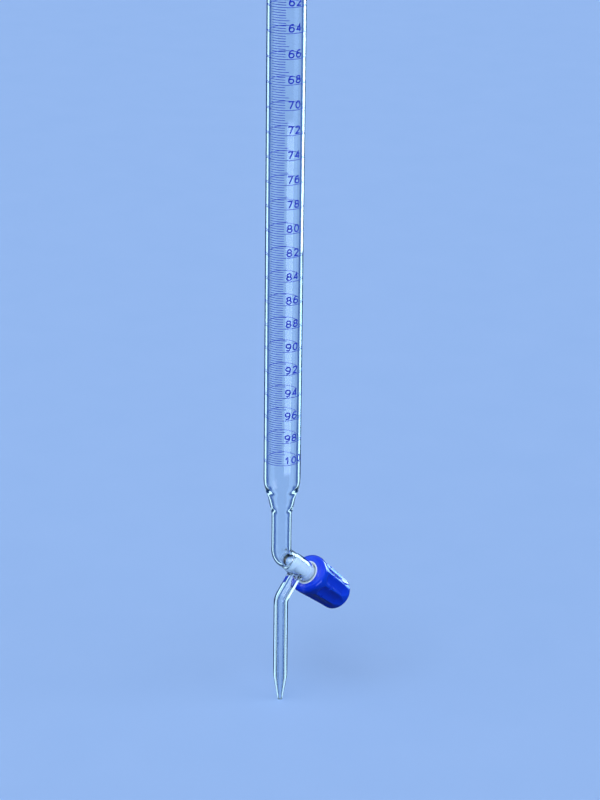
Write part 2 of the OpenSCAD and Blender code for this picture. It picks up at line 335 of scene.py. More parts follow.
# %% Moulded rubber
rubber = new_finish("seal_rubber")
speckle = rubber.noise(size=0.12, detail=4)
rubber_finish = rubber.use(
    rubber.principled(
        base_color=rubber.mix(speckle, (0.01, 0.01, 0.012, 1), (0.035, 0.036, 0.04, 1)),
        roughness=0.5 + speckle * 0.2,
        normal=rubber.bump(speckle, depth=0.01),
    )
)
print("made", rubber_finish.name)

# %% [markdown]
# ## Blue knob plastic
#
# The knob is moulded in a strong blue and handled all day. The mould leaves a faint orange peel, the melt a
# soft cloud of colour, and fingers polish the ribs. How far a point lies from the valve's axis tells rib
# from flute, so that distance, less the side's taper, becomes the mask of the ribs. It makes them smoother,
# which is the polish, and also a lighter blue, which is a painted sheen on the rib crests and the lip.

# %% Moulded blue plastic
knob_taper = 0.0639
rib_reach, rib_soft = 11.15, 0.5


def off_axis(finish):
    """How many millimetres away from the valve's axis a point lies."""
    factors = {0: from_seat(finish), 1: tuple(outwards / MM)}
    product = finish.node("VectorMath", {"operation": "CROSS_PRODUCT"}, factors)
    return finish.node("VectorMath", {"operation": "LENGTH"}, {0: product}, "Value")


knob_blue = new_finish("knob_plastic")
peel = knob_blue.noise(size=0.35)
melt = knob_blue.noise(size=8)
untapered = off_axis(knob_blue) + along_valve(knob_blue) * knob_taper
rib = knob_blue.step(untapered, rib_reach - rib_soft, rib_reach)
body_blue = knob_blue.mix(melt, (0.002, 0.032, 0.72, 1), (0.003, 0.055, 0.92, 1))
# Lighter blue on the rib crests and the lip is a painted sheen; the lower roughness there is real polish.
knob_finish = knob_blue.use(
    knob_blue.principled(
        base_color=knob_blue.mix(rib * 0.35, body_blue, (0.004, 0.08, 0.9, 1)),
        roughness=0.12 + peel * 0.06 - rib * 0.04,
        coat_weight=0.3,
        coat_roughness=0.04,
        normal=knob_blue.bump(peel, depth=0.002),
    )
)
print("made", knob_finish.name)

# %% [markdown]
# ## White sleeve and steel ring
#
# The sleeve in the knob's mouth is a plain white moulding, and its colours carry a painted blue cast of
# its surroundings. The snap ring is bright spring steel with a drawn grain. Each gets its own grain at its own
# scale.

# %% Sleeve plastic and spring steel
sleeve_white = new_finish("sleeve_plastic")
flow = sleeve_white.noise(size=2.5)
# Base colours: a painted blue cast of the surroundings over the sleeve's white; the flow between them is real.
sleeve_finish = sleeve_white.use(
    sleeve_white.principled(
        base_color=sleeve_white.mix(flow, (0.66, 0.79, 0.92, 1), (0.75, 0.86, 0.95, 1)),
        roughness=0.32 + flow * 0.15,
        normal=sleeve_white.bump(flow, depth=0.01),
    )
)
steel = new_finish("spring_steel")
grain = steel.noise(size=0.2, detail=4, stretch=(1, 6, 1))
steel_finish = steel.use(
    steel.principled(
        base_color=steel.mix(grain, (0.42, 0.43, 0.45, 1), (0.62, 0.63, 0.65, 1)),
        metallic=1.0,
        roughness=0.22 + grain * 0.2,
        normal=steel.bump(grain, depth=0.004),
    )
)
print("made", sleeve_finish.name, "and", steel_finish.name)

# %% [markdown]
# ## From rings to meshes
#
# Nearly every piece here is round about some line, so one idea makes them all: circles of points, one after
# the other, with quads between them. A circle whose radius is nought closes an end, a circle whose radius
# changes with the angle makes a thread or a flute, and a list of circles that returns to its start makes a
# hollow piece.

# %% Rings and skins
AROUND = 128
full_turn = np.linspace(0, 2 * math.pi, AROUND, endpoint=False)


def ring(centre, direction, radius, angles=full_turn):
    """Points of a circle about a centre, square to a direction in the valve's plane."""
    first = np.cross(across, direction)
    spokes = np.outer(np.cos(angles), first) + np.outer(np.sin(angles), across)
    return centre + np.broadcast_to(radius, len(angles))[:, None] * spokes


def skin(rings, loop=False):
    """Points and quads of a skin over rings in a row; a loop also joins the last ring to the first."""
    points = np.array(rings)
    count, around = points.shape[:2]
    here = np.arange(count * around).reshape(count, around)
    there = np.roll(here, -1, axis=0)
    quads = np.stack([here, np.roll(here, -1, axis=1), np.roll(there, -1, axis=1), there], axis=-1)
    quads = quads if loop else quads[:-1]
    return points.reshape(-1, 3), quads.reshape(-1, 4).tolist()


print("circles of", AROUND, "points")

# %% [markdown]
# ## From meshes to pieces
#
# A mesh is cleaned before it is used: points that meet are welded, faces turned outwards, and shading is
# smooth but for real edges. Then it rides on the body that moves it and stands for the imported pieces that
# it replaces, so that the valve still opens and closes.

# %% Meshes and pieces
WELD = 1e-7


def tidy(mesh, crease=40):
    """The mesh, cleaned, with edges kept sharp where faces meet at more than the crease's degrees."""
    work = bmesh.new()
    work.from_mesh(mesh)
    bmesh.ops.remove_doubles(work, verts=work.verts, dist=WELD)
    bmesh.ops.dissolve_degenerate(work, dist=WELD, edges=work.edges)
    bmesh.ops.recalc_face_normals(work, faces=work.faces)
    work.to_mesh(mesh)
    work.free()
    mesh.shade_smooth()
    mesh.set_sharp_from_angle(angle=math.radians(crease))
    return mesh


def build(name, parts, crease=40):
    """One clean mesh from several skins in millimetres."""
    points = np.concatenate([part[0] for part in parts])
    starts = np.cumsum([0] + [len(part[0]) for part in parts])
    faces = [[i + start for i in face] for part, start in zip(parts, starts) for face in part[1]]
    mesh = bpy.data.meshes.new(name)
    mesh.from_pydata((points * MM).tolist(), [], faces)
    return tidy(mesh, crease)


def add_piece(mesh, finish, body, slot, *nodes):
    """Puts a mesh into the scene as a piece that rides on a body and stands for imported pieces."""
    mesh.materials.clear()
    mesh.materials.append(finish)
    piece = bpy.data.objects.new(mesh.name, mesh)
    scene.collection.objects.link(piece)
    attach(piece, body)
    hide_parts(*nodes)
    print("piece", piece.name, "with", len(mesh.polygons), "faces")
    return piece


print("points closer than", WELD, "m are welded")

# %% [markdown]
# ## The liquid's way
#
# The glass is one blown piece: tube, shoulder, cone, neck, bend, seat and barrel follow one line. It could
# be assembled from five meshes, but each joint would then show as a wall inside clear glass. So a function
# gives the centre and the direction at any distance from the seat, and the whole skin is drawn along it.

# %% Line through the tube, the bend and the barrel
seat_back, neck_run = 1.4, 3.1
barrel_back = seat_back + neck_run
neck_turn = math.pi / 2 - tilt
neck_tangent = seat[0] / math.cos(tilt) - barrel_back
bend_r = neck_tangent / math.tan(neck_turn / 2)
bend_h = seat[2] + seat[0] * math.tan(tilt) + neck_tangent
bend_start = -barrel_back - bend_r * neck_turn


def liquid_way(place):
    """Centre and direction at a distance from the seat, which is negative up the tube."""
    if place >= -barrel_back:
        return seat + place * outwards, outwards
    if place >= bend_start:
        turned = (place - bend_start) / bend_r
        heading = np.array([math.sin(turned), 0, -math.cos(turned)])
        return np.array([bend_r * (1 - math.cos(turned)), 0, bend_h - bend_r * math.sin(turned)]), heading
    return np.array([0, 0, bend_h + bend_start - place]), np.array([0, 0, -1.0])


def place_of(height):
    """Distance from the seat of a height on the upright tube."""
    return bend_start - (height - bend_h)


print("neck bends at", round(bend_h, 1), "with radius", round(bend_r, 1))

# %% [markdown]
# ## Walls of the glass
#
# Two outlines give the outside and the inside radius along that line. They could be drawn point by point,
# but a few named radii and lengths say more: the tube is drawn in at a rounded shoulder, a cone leads to
# the neck, and behind the bend a funnel, the seat and the barrel follow.

# %% Outside and inside radius
shoulder_h = 4.5
cone_top_r, cone_low_r, cone_wall = 7.5, 5.2, 1.4
neck_r, neck_bore_r = 4.85, 3.55
barrel_r, bore_r, barrel_length = 5.25, 4.1, 29.5
seat_hole_r, seat_land, funnel_length = 1.5, 1.0, 2.4
seat_cone = bore_r - seat_hole_r
shoulder_top_h = upper_seal_h + shoulder_h


def drawn_in(wide, narrow, length, fall):
    """Radius of a tube that the flame draws in from wide to narrow, after falling part of the length."""
    drop = wide - narrow
    sweep = (length**2 + drop**2) / (2 * drop)
    return wide - sweep + math.sqrt(sweep**2 - fall**2)


def tube_to_neck(tube, cone_top, cone_low, neck):
    """Outline of one side of the wall, from the rim down to the neck."""
    falls = np.linspace(0, shoulder_h, 10)
    shoulder = [(place_of(shoulder_top_h - f), drawn_in(tube, cone_top, shoulder_h, f)) for f in falls]
    foot = [(place_of(lower_seal_h), cone_low), (place_of(lower_seal_h) + cone_low - neck, neck)]
    return [(place_of(rim_h), tube)] + shoulder + foot


outside = tube_to_neck(tube_r, cone_top_r, cone_low_r, neck_r)
outside += [(-seat_back, neck_r), (seat_cone, barrel_r), (barrel_length, barrel_r)]
inside = tube_to_neck(tube_bore_r, cone_top_r - cone_wall, cone_low_r - cone_wall, neck_bore_r)
for a in np.linspace(0, math.pi / 2, 8):
    funnel_r = seat_hole_r + (neck_bore_r - seat_hole_r) * math.cos(a)
    inside.append((-seat_land - funnel_length * (1 - math.sin(a)), funnel_r))
inside += [(0, seat_hole_r), (seat_cone, bore_r), (barrel_length, bore_r)]
print("outside", len(outside), "points, inside", len(inside))

# %% [markdown]
# ## Glass thread
#
# The knob screws on a thread that is moulded into the outside of the barrel. A helix is easy on rings: the
# groove of each ring is the same wave, turned a little further. The lead follows from the joints, so a turn
# of the knob carries the sleeve's thread exactly along this one.

# %% Groove of the thread
lead = joints["plunger_slide"]["range_m"][1] / MM / (knob_turn["range_deg"][1] / 360)
thread_start, thread_fade, thread_depth = 16.4, 1.2, 0.42


def groove(place, angles=full_turn):
    """How far the thread's groove goes into the barrel, round the circle; it fades in at the start."""
    phase = 2 * math.pi * place / lead - angles
    grown = np.clip((place - thread_start) / thread_fade, 0, 1)
    return grown * thread_depth * (0.5 - 0.5 * np.cos(phase))


print("thread of lead", lead, "from", thread_start, "to", barrel_length)

# %% [markdown]
# ## Softened walls and flame seals
#
# A glassblower's joints have no sharp corners. Bevels could round them one by one. Averaging an outline
# over a short length does it all along, as the flame does: much at the shoulder, less at the neck, and
# hardly at the valve, which keeps its fit. A bead stands where two tubes were sealed in the flame. It is
# thicker on two sides and leans, as handwork does.

# %% Melted outline and beads
above_seal = 4
soft_above = place_of(lower_seal_h) - above_seal
shoulder_soft, neck_soft, valve_soft = 2.4, 1.2, 0.08
seals = [(place_of(upper_seal_h), 0.3, 1.4), (place_of(lower_seal_h), 0.26, 1.2)]
bead_side, bead_uneven, bead_lean = math.radians(43.5), 0.8, 0.3


def melted(outline, place):
    """Radius of an outline at a place, averaged over a short length as if it had softened in the flame."""
    soft = valve_soft
    if place < -barrel_back:
        soft = shoulder_soft if place < soft_above else neck_soft
    spread = place + np.linspace(-soft, soft, 9)
    return np.interp(spread, *zip(*outline)).mean()


def beads(place):
    """How far the flame seals stand out at a place, round the circle."""
    uneven = 1 + bead_uneven * np.cos(2 * (full_turn - bead_side))
    total = np.zeros(AROUND)
    for spot, height, width in seals:
        away = (place - spot - bead_lean * np.cos(full_turn)) / width
        total += height * uneven * np.exp(-(away**2))
    return total


print("seals at", [round(spot, 1) for spot, height, width in seals], "from the seat")

# %% [markdown]
# ## One skin for the tube, the bend and the barrel
#
# The skin runs down the outside, round the barrel's mouth, back up the inside and over the rim to where it
# began. Rings stand close where the shape changes and far apart on the straight tube, which keeps the mesh
# small.

# %% Glass skin
rim_round = (tube_r - tube_bore_r) / 2
mouth_r = barrel_r - thread_depth
mouth_round, mouth_slope = (mouth_r - bore_r) / 2, 0.8
bead_out, bead_in = 0.5, 0.6
above_shoulder, bore_from = 5, 4
rim_place = place_of(rim_h - rim_round)
lip_place = barrel_length - mouth_round
close_from = place_of(shoulder_top_h + above_shoulder)
far_apart = np.linspace(rim_place, close_from, 24)[:-1]
outer_close = np.arange(close_from, thread_start, 0.36)
outer_thread = np.arange(thread_start, lip_place, 0.2)
inner_close = np.arange(close_from, bore_from, 0.4)
inner_bore = np.arange(bore_from, lip_place, 1.2)


def around_way(place, radius):
    centre, heading = liquid_way(place)
    return ring(centre, heading, radius)


skin_rings = []
for place in np.concatenate([far_apart, outer_close, outer_thread]):
    lead_in = mouth_r + max(0, lip_place - place) * mouth_slope
    outer_r = melted(outside, place) + bead_out * beads(place) - groove(place)
    skin_rings.append(around_way(place, np.minimum(outer_r, lead_in)))
for a in np.linspace(0, math.pi, 9):
    lip_ring_r = bore_r + mouth_round * (1 + math.cos(a))
    skin_rings.append(around_way(lip_place + mouth_round * math.sin(a), lip_ring_r))
for place in np.concatenate([far_apart, inner_close, inner_bore])[::-1]:
    skin_rings.append(around_way(place, melted(inside, place) - bead_in * beads(place)))
for a in np.linspace(0, math.pi, 11)[1:-1]:
    rim_ring_r = tube_bore_r + rim_round * (1 - math.cos(a))
    skin_rings.append(around_way(rim_place - rim_round * math.sin(a), rim_ring_r))
glass_mesh = build("blown_glass", [skin(skin_rings, loop=True)])
print("glass skin of", len(skin_rings), "rings")

# %% [markdown]
# ## Jet
#
# The jet leaves the barrel sideways, bends back under the tube and is drawn out to a fine tip. Where it was
# sealed on, the glass flowed into a fillet. Each circle of the fillet follows the barrel's curve, because
# it keeps one distance from the barrel's axis.

# %% Line and outline of the jet
branch_place, elbow_r, taper_h, taper_soft = 8.6, 6, 14, 1.5
jet_r, jet_bore_r, tip_r, tip_bore_r = 3.5, 1.6, 1.1, 0.45
branch = seat + branch_place * outwards
arm_length = (branch[0] - elbow_r * (1 - math.cos(tilt))) / math.sin(tilt)
elbow_h = branch[2] - arm_length * math.cos(tilt) - elbow_r * math.sin(tilt)
jet_length = arm_length + elbow_r * tilt + elbow_h


def jet_ring(place, radius):
    """A circle round the jet, at a distance from the valve's axis down the jet."""
    if place <= arm_length:
        return ring(branch + place * side_arm, side_arm, radius)
    left = max(0, tilt - (place - arm_length) / elbow_r)
    below = max(0, place - arm_length - elbow_r * tilt)
    heading = np.array([-math.sin(left), 0, -math.cos(left)])
    centre = np.array([elbow_r * (1 - math.cos(left)), 0, elbow_h + elbow_r * math.sin(left) - below])
    return ring(centre, heading, radius)


def saddle(radius, above):
    """A circle round the arm whose points all keep the same distance above the barrel's skin."""
    aside = radius * np.sin(full_turn)
    along = -radius * np.cos(full_turn)
    deep = np.sqrt((barrel_r + above) ** 2 - aside**2)
    return branch + np.outer(along, outwards) + np.outer(aside, across) + np.outer(deep, side_arm)


def jet_outline(wide, narrow, place):
    """Radius down the jet: even at first, then a straight taper that sets in softly."""
    spread = np.minimum(place + np.linspace(-taper_soft, taper_soft, 9), jet_length)
    return np.interp(spread, [jet_length - taper_h, jet_length], [wide, narrow]).mean()


print("jet of", round(jet_length, 1), "mm, bend at", round(elbow_h, 1))

# %% Rings of the jet and of its bore
fillet_r, cap_depth, cap_out, tip_round = 1.1, 0.6, 0.8, 0.3
round_from, jet_step, bore_start, bore_step, past_tip = 7.2, 0.5, 1, 0.6, 1
tip_start = jet_length - tip_round
jet_rings = [saddle(0, -cap_depth), saddle(jet_r + cap_out * fillet_r, -cap_depth)]
for a in np.radians(np.linspace(12, 90, 8)):
    jet_rings.append(saddle(jet_r + fillet_r * (1 - math.sin(a)), fillet_r * (1 - math.cos(a))))
for place in np.concatenate([np.arange(round_from, tip_start, jet_step), [tip_start]]):
    jet_rings.append(jet_ring(place, jet_outline(jet_r, tip_r, place)))
for a in np.linspace(0, math.pi / 2, 6)[1:]:
    end_r = tip_r - tip_round * (1 - math.cos(a))
    jet_rings.append(jet_ring(jet_length - tip_round * (1 - math.sin(a)), end_r))
jet_rings.append(jet_ring(jet_length, 0))

bore_ends = [jet_length, jet_length + past_tip]
bore_rings = [jet_ring(bore_start, 0)]
for place in np.concatenate([np.arange(bore_start, jet_length, bore_step), bore_ends]):
    bore_rings.append(jet_ring(place, jet_outline(jet_bore_r, tip_bore_r, place)))
bore_rings.append(jet_ring(jet_length + past_tip, 0))
print("jet of", len(jet_rings), "rings, bore of", len(bore_rings))

# %% [markdown]
# ## Jet sealed to the barrel
#
# The jet's skin begins inside the barrel's wall, and its bore is a second closed skin that starts in the
# barrel's bore and ends past the tip. They could be sewn to the barrel point by point, but a Boolean is
# surer: a union melts the jet onto the barrel, and a difference then bores both.


# %% Jet joined to the barrel and bored
def carve(mesh, tool, operation):
    """The mesh joined with or cut by another: a Boolean modifier, applied."""
    things = [bpy.data.objects.new("carve", thing) for thing in (mesh, tool)]
    for thing in things:
        scene.collection.objects.link(thing)
    modifier = things[0].modifiers.new("carve", "BOOLEAN")
    modifier.solver = "MANIFOLD"
    modifier.operation = operation
    modifier.object = things[1]
    carved = things[0].evaluated_get(bpy.context.evaluated_depsgraph_get())
    result = bpy.data.meshes.new_from_object(carved)
    for thing in things:
        bpy.data.objects.remove(thing)
    result.name = mesh.name
    return tidy(result)


glass_mesh = carve(glass_mesh, build("jet", [skin(jet_rings)]), "UNION")
glass_mesh = carve(glass_mesh, build("jet_bore", [skin(bore_rings)]), "DIFFERENCE")
glass_nodes = ("graduated_tube", "reducing_cone", "neck_tube", "valve_barrel", "delivery_jet")
add_piece(glass_mesh, glass_finish, "glass_body", "glass", *glass_nodes)

# %% [markdown]
# ## Scale
#
# The tube is divided in fifths of a millilitre. Every second millilitre has a ring right round and a
# figure, every other one a long line, and the rest short lines on the side away from the figures. Each line
# is a thin strip of enamel bent round the tube, a few hundredths of a millimetre proud of the glass. An
# image texture could carry the lines, but real strips stay crisp however near one looks.

# %% Lines of the scale
whole_ml, ml_pitch, below_scale = 100, 5.72, 11.7
line_width, line_step = 0.27, 4
enamel_low, enamel_high = tube_r - 0.005, tube_r + 0.03
lowest_line_h = shoulder_top_h + below_scale
ring_ends, long_ends, short_ends = (-180, 180), (-45, 9), (-45, -1)


def on_tube(aside, height, radius):
    """A point on the tube: degrees to the right of the side that faces the camera, height and radius."""
    a = facing + math.radians(aside)
    return (radius * math.cos(a), radius * math.sin(a), height)


def enamel_strip(edges, whole):
    """A raised strip over pairs of spots on its two edges; one that goes right round has no ends."""
    sections = []
    for first, second in edges:
        corners = [(first, enamel_low), (first, enamel_high), (second, enamel_high), (second, enamel_low)]
        sections.append([on_tube(*spot, radius) for spot, radius in corners])
    points, faces = skin(sections, whole)
    last = len(points) - 4
    ends = [] if whole else [[0, 1, 2, 3], [last, last + 1, last + 2, last + 3]]
    return points, faces + ends


def line(height, start, end):
    """A line of the scale between two angles."""
    whole = end - start >= 360
    angles = np.linspace(start, end, int((end - start) / line_step) + 2)
    low, high = height - line_width / 2, height + line_width / 2
    return enamel_strip([((a, low), (a, high)) for a in (angles[:-1] if whole else angles)], whole)


lines = []
for fifth in range(whole_ml * 5 + 1):
    ends = ring_ends if fifth % 10 == 0 else long_ends if fifth % 5 == 0 else short_ends
    lines.append(line(lowest_line_h + fifth * ml_pitch / 5, *ends))
add_piece(build("scale_lines", lines, crease=30), enamel_finish, "glass_body", "scale_enamel")

# %% [markdown]
# ## Figures
#
# The figures are plain and bold, and each digit is a few strokes of one width, like a stencil's. Text from
# a font could be bent round the tube, but its letters would not have these shapes. So bows and straight
# lines give the middle of each stroke, in a box that is 1 wide and 1 high.


# %% Strokes of the digits
def bow(middle, half_w, half_h, start, end):
    """Points of a bow between two angles in degrees."""
    angles = np.radians(np.linspace(start, end, 25))
    return [(middle[0] + half_w * math.cos(a), middle[1] + half_h * math.sin(a)) for a in angles]


DIGITS = {
    "0": [bow((0.5, 0.5), 0.5, 0.5, 0, 360)],
    "1": [[(0.12, 0.76), (0.6, 1), (0.6, 0)]],
    "2": [bow((0.5, 0.72), 0.47, 0.28, 165, -38) + [(0.03, 0), (1, 0)]],
    "3": [bow((0.47, 0.75), 0.44, 0.25, 150, -90) + bow((0.47, 0.25), 0.5, 0.25, 90, -150)],
    "4": [[(0.72, 0), (0.72, 1), (0, 0.28), (1, 0.28)]],
    "5": [[(0.92, 1), (0.16, 1), (0.08, 0.52)] + bow((0.47, 0.32), 0.5, 0.32, 130, -150)],
    "6": [bow((0.5, 0.3), 0.5, 0.3, 0, 360), bow((0.62, 0.34), 0.62, 0.66, 180, 62)],
    "7": [[(0, 1), (1, 1), (0.34, 0)]],
    "8": [bow((0.5, 0.76), 0.41, 0.24, 0, 360), bow((0.5, 0.26), 0.5, 0.26, 0, 360)],
    "9": [bow((0.5, 0.7), 0.5, 0.3, 0, 360), bow((0.38, 0.66), 0.62, 0.66, 0, -118)],
}
print("strokes for", len(DIGITS), "digits")

# %% [markdown]
# ## Ribbons along the strokes
#
# A ribbon of enamel follows each stroke. A bevelled curve could do that too, but it would not lie on the
# round glass. Here both edges are found on the flat, pushed out a little at corners so that the stroke
# keeps its width, and then bent: a way to the right becomes an angle. The scale counts downwards, from
# nought at the top.

# %% Figures bent round the tube
digit_w, digit_h, digit_pitch, stroke_w = 2.2, 3.2, 3.5, 0.6
figure_start, figure_gap, longest_step, sharpest = 8.8, 0.75, 0.3, 0.6


def ribbon(stroke, aside, height):
    """A strip of enamel along a stroke whose box stands that far round the tube, at that height."""
    spots = np.array(stroke) * (digit_w, digit_h)
    along = np.concatenate([[0], np.cumsum(np.linalg.norm(np.diff(spots, axis=0), axis=1))])
    places = np.unique(np.concatenate([along, np.arange(0, along[-1], longest_step)]).round(4))
    spots = np.stack([np.interp(places, along, spots[:, i]) for i in (0, 1)], axis=1)
    whole = np.allclose(spots[0], spots[-1])
    ways = np.diff(spots, axis=0)
    ways /= np.linalg.norm(ways, axis=1)[:, None]
    before = np.vstack([ways[-1] if whole else ways[0], ways])
    after = np.vstack([ways, ways[0] if whole else ways[-1]])
    middle = before + after
    middle /= np.linalg.norm(middle, axis=1)[:, None]
    half = stroke_w / 2 / np.maximum((middle * after).sum(axis=1), sharpest)
    edge = np.stack([-middle[:, 1], middle[:, 0]], axis=1) * half[:, None]
    sides = []
    for side in (spots + edge, spots - edge):
        sides.append([(aside + math.degrees(x / tube_r), height + y) for x, y in side])
    edges = list(zip(*sides))
    return enamel_strip(edges[:-1] if whole else edges, whole)


strokes = []
for ml in range(0, whole_ml + 1, 2):
    height = lowest_line_h + (whole_ml - ml) * ml_pitch + figure_gap
    for place, digit in enumerate(str(ml)):
        aside = figure_start + math.degrees(place * digit_pitch / tube_r)
        strokes += [ribbon(stroke, aside, height) for stroke in DIGITS[digit]]
add_piece(build("scale_figures", strokes, crease=30), enamel_finish, "glass_body", "scale_enamel")

# %% [markdown]
# ## Side and flutes of the knob
#
# The knob is a moulded cup: a wide rounded lip, a slightly tapered side with nine finger flutes and a
# shallow groove, and a closed end with a rounded edge. Nine Booleans could cut the flutes. Here each ring
# of the outside is a circle from which the flutes take a bite, and a soft minimum of the two, instead of a
# hard one, gives the ribs the rounded edges of a moulding.

# %% Flutes
knob_mouth, knob_length = 15.3, 28.7
lip_r, edge_r = 2.6, 1.8
lip_centre, edge_centre = (7.4, lip_r), (6.65, knob_length - edge_r)
flutes, flute_out, flute_depth, rib_turn = 9, 7.05, 0.95, math.radians(5)
flute_start, flute_stop, fade_in, fade_out = 4.4, knob_length - 2, 2.2, 4.5
slope, far_off = math.atan(knob_taper), 99
knob_angles = np.linspace(0, 2 * math.pi, 48 * flutes, endpoint=False)


def side_r(place):
    return lip_centre[0] + lip_r / math.cos(slope) - (place - lip_r) * knob_taper


def soft_min(first, second, width):
    return -width * np.logaddexp(-first / width, -second / width)


def flute_wall(place):
    """Distance from the axis to the nearest flute's wall, round the circle; far off between the flutes."""
    grown = min((place - flute_start) / fade_in, (flute_stop - place) / fade_out, 1)
    bite = flute_out + flute_depth * max(grown, 0)
    centre = side_r(place) + flute_out
    flute_pitch = 2 * math.pi / flutes
    off = ((knob_angles + rib_turn) / flute_pitch % 1 - 0.5) * flute_pitch
    chord = bite**2 - (centre * np.sin(off)) ** 2
    wall = centre * np.cos(off) - np.sqrt(np.maximum(chord, 0))
    return np.where((chord > 0) & (grown > 0), wall, far_off)


print(flutes, "flutes, side from", round(side_r(0), 2), "to", round(side_r(knob_length), 2))

# %% [markdown]
# ## Outline and hollow of the knob
#
# One outline runs from the lip along the side to the closed end. A second one comes back through the
# hollow: round the socket for the plunger's button, with its groove for the snap ring, and past the wider
# seat of the sleeve. Joined, they give one closed skin, so the knob is a real cup with walls.

# %% Outlines
groove_start, groove_end, groove_depth, groove_slope = 10.5, 11.4, 0.6, 0.3
side_from, side_step, end_flat_r, end_wall, bevel = 3, 0.3, 3, 2.4, 0.15
floor_at = knob_length - end_wall
socket_r, socket_out_r, socket_end = 3.7, 5.3, floor_at - 5.3
snap_r, snap_top, snap_foot = 4.5, floor_at - 3.2, floor_at - 4.25
hollow_r, sleeve_r, sleeve_length, sleeve_lip_h = 6.1, 6.92, 14, 1.4


def arc(centre, radius, start, end, steps=9):
    """Points of a rounded corner in an outline, between two angles in degrees."""
    angles = np.radians(np.linspace(start, end, steps + 1))
    return [(centre[0] + radius * math.cos(a), centre[1] + radius * math.sin(a)) for a in angles]


outline = arc(lip_centre, lip_r, -90, math.degrees(slope))
for place in np.arange(side_from, edge_centre[1], side_step):
    rise = min(place - groove_start, groove_end - place)
    outline.append((side_r(place) - groove_depth * np.clip(rise / groove_slope + 0.5, 0, 1), place))
outline += arc(edge_centre, edge_r, math.degrees(slope), 90)
outline += [(end_flat_r, knob_length), (0, knob_length)]
cavity = [(0, floor_at), (socket_r, floor_at), (socket_r, snap_top), (snap_r, snap_top)]
cavity += [(snap_r, snap_foot), (socket_r, snap_foot), (socket_r, socket_end), (socket_out_r, socket_end)]
cavity += [(socket_out_r, floor_at), (hollow_r, floor_at), (hollow_r, sleeve_length)]
cavity += [(sleeve_r, sleeve_length), (sleeve_r, sleeve_lip_h), (hollow_r, sleeve_lip_h)]
cavity += [(hollow_r, bevel), (hollow_r + bevel, 0)]
print("outline of", len(outline), "points, hollow of", len(cavity))

# %% Knob
rib_edge = 0.04


def valve_ring(place, radius, angles=full_turn):
    return ring(seat + place * outwards, outwards, radius, angles)


knob_rings = []
for r, place in outline:
    fluted = soft_min(r, flute_wall(place), rib_edge)
    knob_rings.append(valve_ring(knob_mouth + place, fluted, knob_angles))
for r, place in cavity:
    knob_rings.append(valve_ring(knob_mouth + place, r, knob_angles))
knob_mesh = build("fluted_knob", [skin(knob_rings, loop=True)], crease=35)
add_piece(knob_mesh, knob_finish, "knob_body", "knob_plastic", "knob_shell")

# %% [markdown]
# ## Sleeve
#
# A white sleeve sits in the knob and runs on the glass thread. Only its pale lip shows in the knob's mouth,
# but when the valve is opened one looks into it. Its ridge is the barrel's groove seen from the other side,
# with a little less depth, so that the two can turn on each other without touching.

# %% Sleeve with its ridge
sleeve_bore_r, sleeve_mouth_r = 5.32, 5.34
ridge_start, ridge_share, ridge_step, bore_edge = 1.5, 0.85, 0.2, 0.1
shoulder_bevel, end_bevel = 0.1, 0.3
sleeve_outline = [(sleeve_mouth_r, 0), (hollow_r - bevel, 0), (hollow_r, bevel), (hollow_r, sleeve_lip_h)]
sleeve_outline += [(sleeve_r - shoulder_bevel, sleeve_lip_h), (sleeve_r, sleeve_lip_h + shoulder_bevel)]
sleeve_outline += [(sleeve_r, sleeve_length - end_bevel), (sleeve_r - end_bevel, sleeve_length)]
sleeve_rings = [valve_ring(knob_mouth + place, r) for r, place in sleeve_outline]
for place in np.arange(sleeve_length, bore_edge, -ridge_step):
    grown = np.clip(min(place - ridge_start, sleeve_length - place), 0, 1)
    ridge = ridge_share * grown * groove(knob_mouth + place)
    sleeve_rings.append(valve_ring(knob_mouth + place, sleeve_bore_r - ridge))
sleeve_mesh = build("threaded_sleeve", [skin(sleeve_rings, loop=True)], crease=35)
add_piece(sleeve_mesh, sleeve_finish, "knob_body", "sleeve_plastic", "thread_sleeve")

# %% [markdown]
# ## Plunger and washer
#
# These are turned pieces, so an outline spun about the valve's axis makes each of them. A lathe leaves
# small bevels. A Bevel modifier could cut them, but rounding the corners of the outline before it is spun
# gives cleaner faces and costs nothing.

# %% Outlines with rounded corners
half_side = 0.45


def soften(corners, cut, loop=False):
    """The outline with each corner replaced by a short curve that starts a cut's length away from it."""
    points = [np.array(corner, float) for corner in corners]
    smooth = []
    for i, corner in enumerate(points):
        if not loop and i in (0, len(points) - 1):
            smooth.append(corner)
            continue
        sides = [points[i - 1] - corner, points[(i + 1) % len(points)] - corner]
        before, after = [corner + s * min(cut / np.linalg.norm(s), half_side) for s in sides]
        for share in np.linspace(0, 1, 5):
            smooth.append((1 - share) ** 2 * before + 2 * share * (1 - share) * corner + share**2 * after)
    return smooth


def turned(name, corners, cut, loop=False):
    """A piece spun about the valve's axis from an outline of radii and places."""
    rings = [valve_ring(place, r) for r, place in soften(corners, cut, loop)]
    return build(name, [skin(rings, loop)], crease=35)


print("a bevel takes at most", half_side, "of a side")

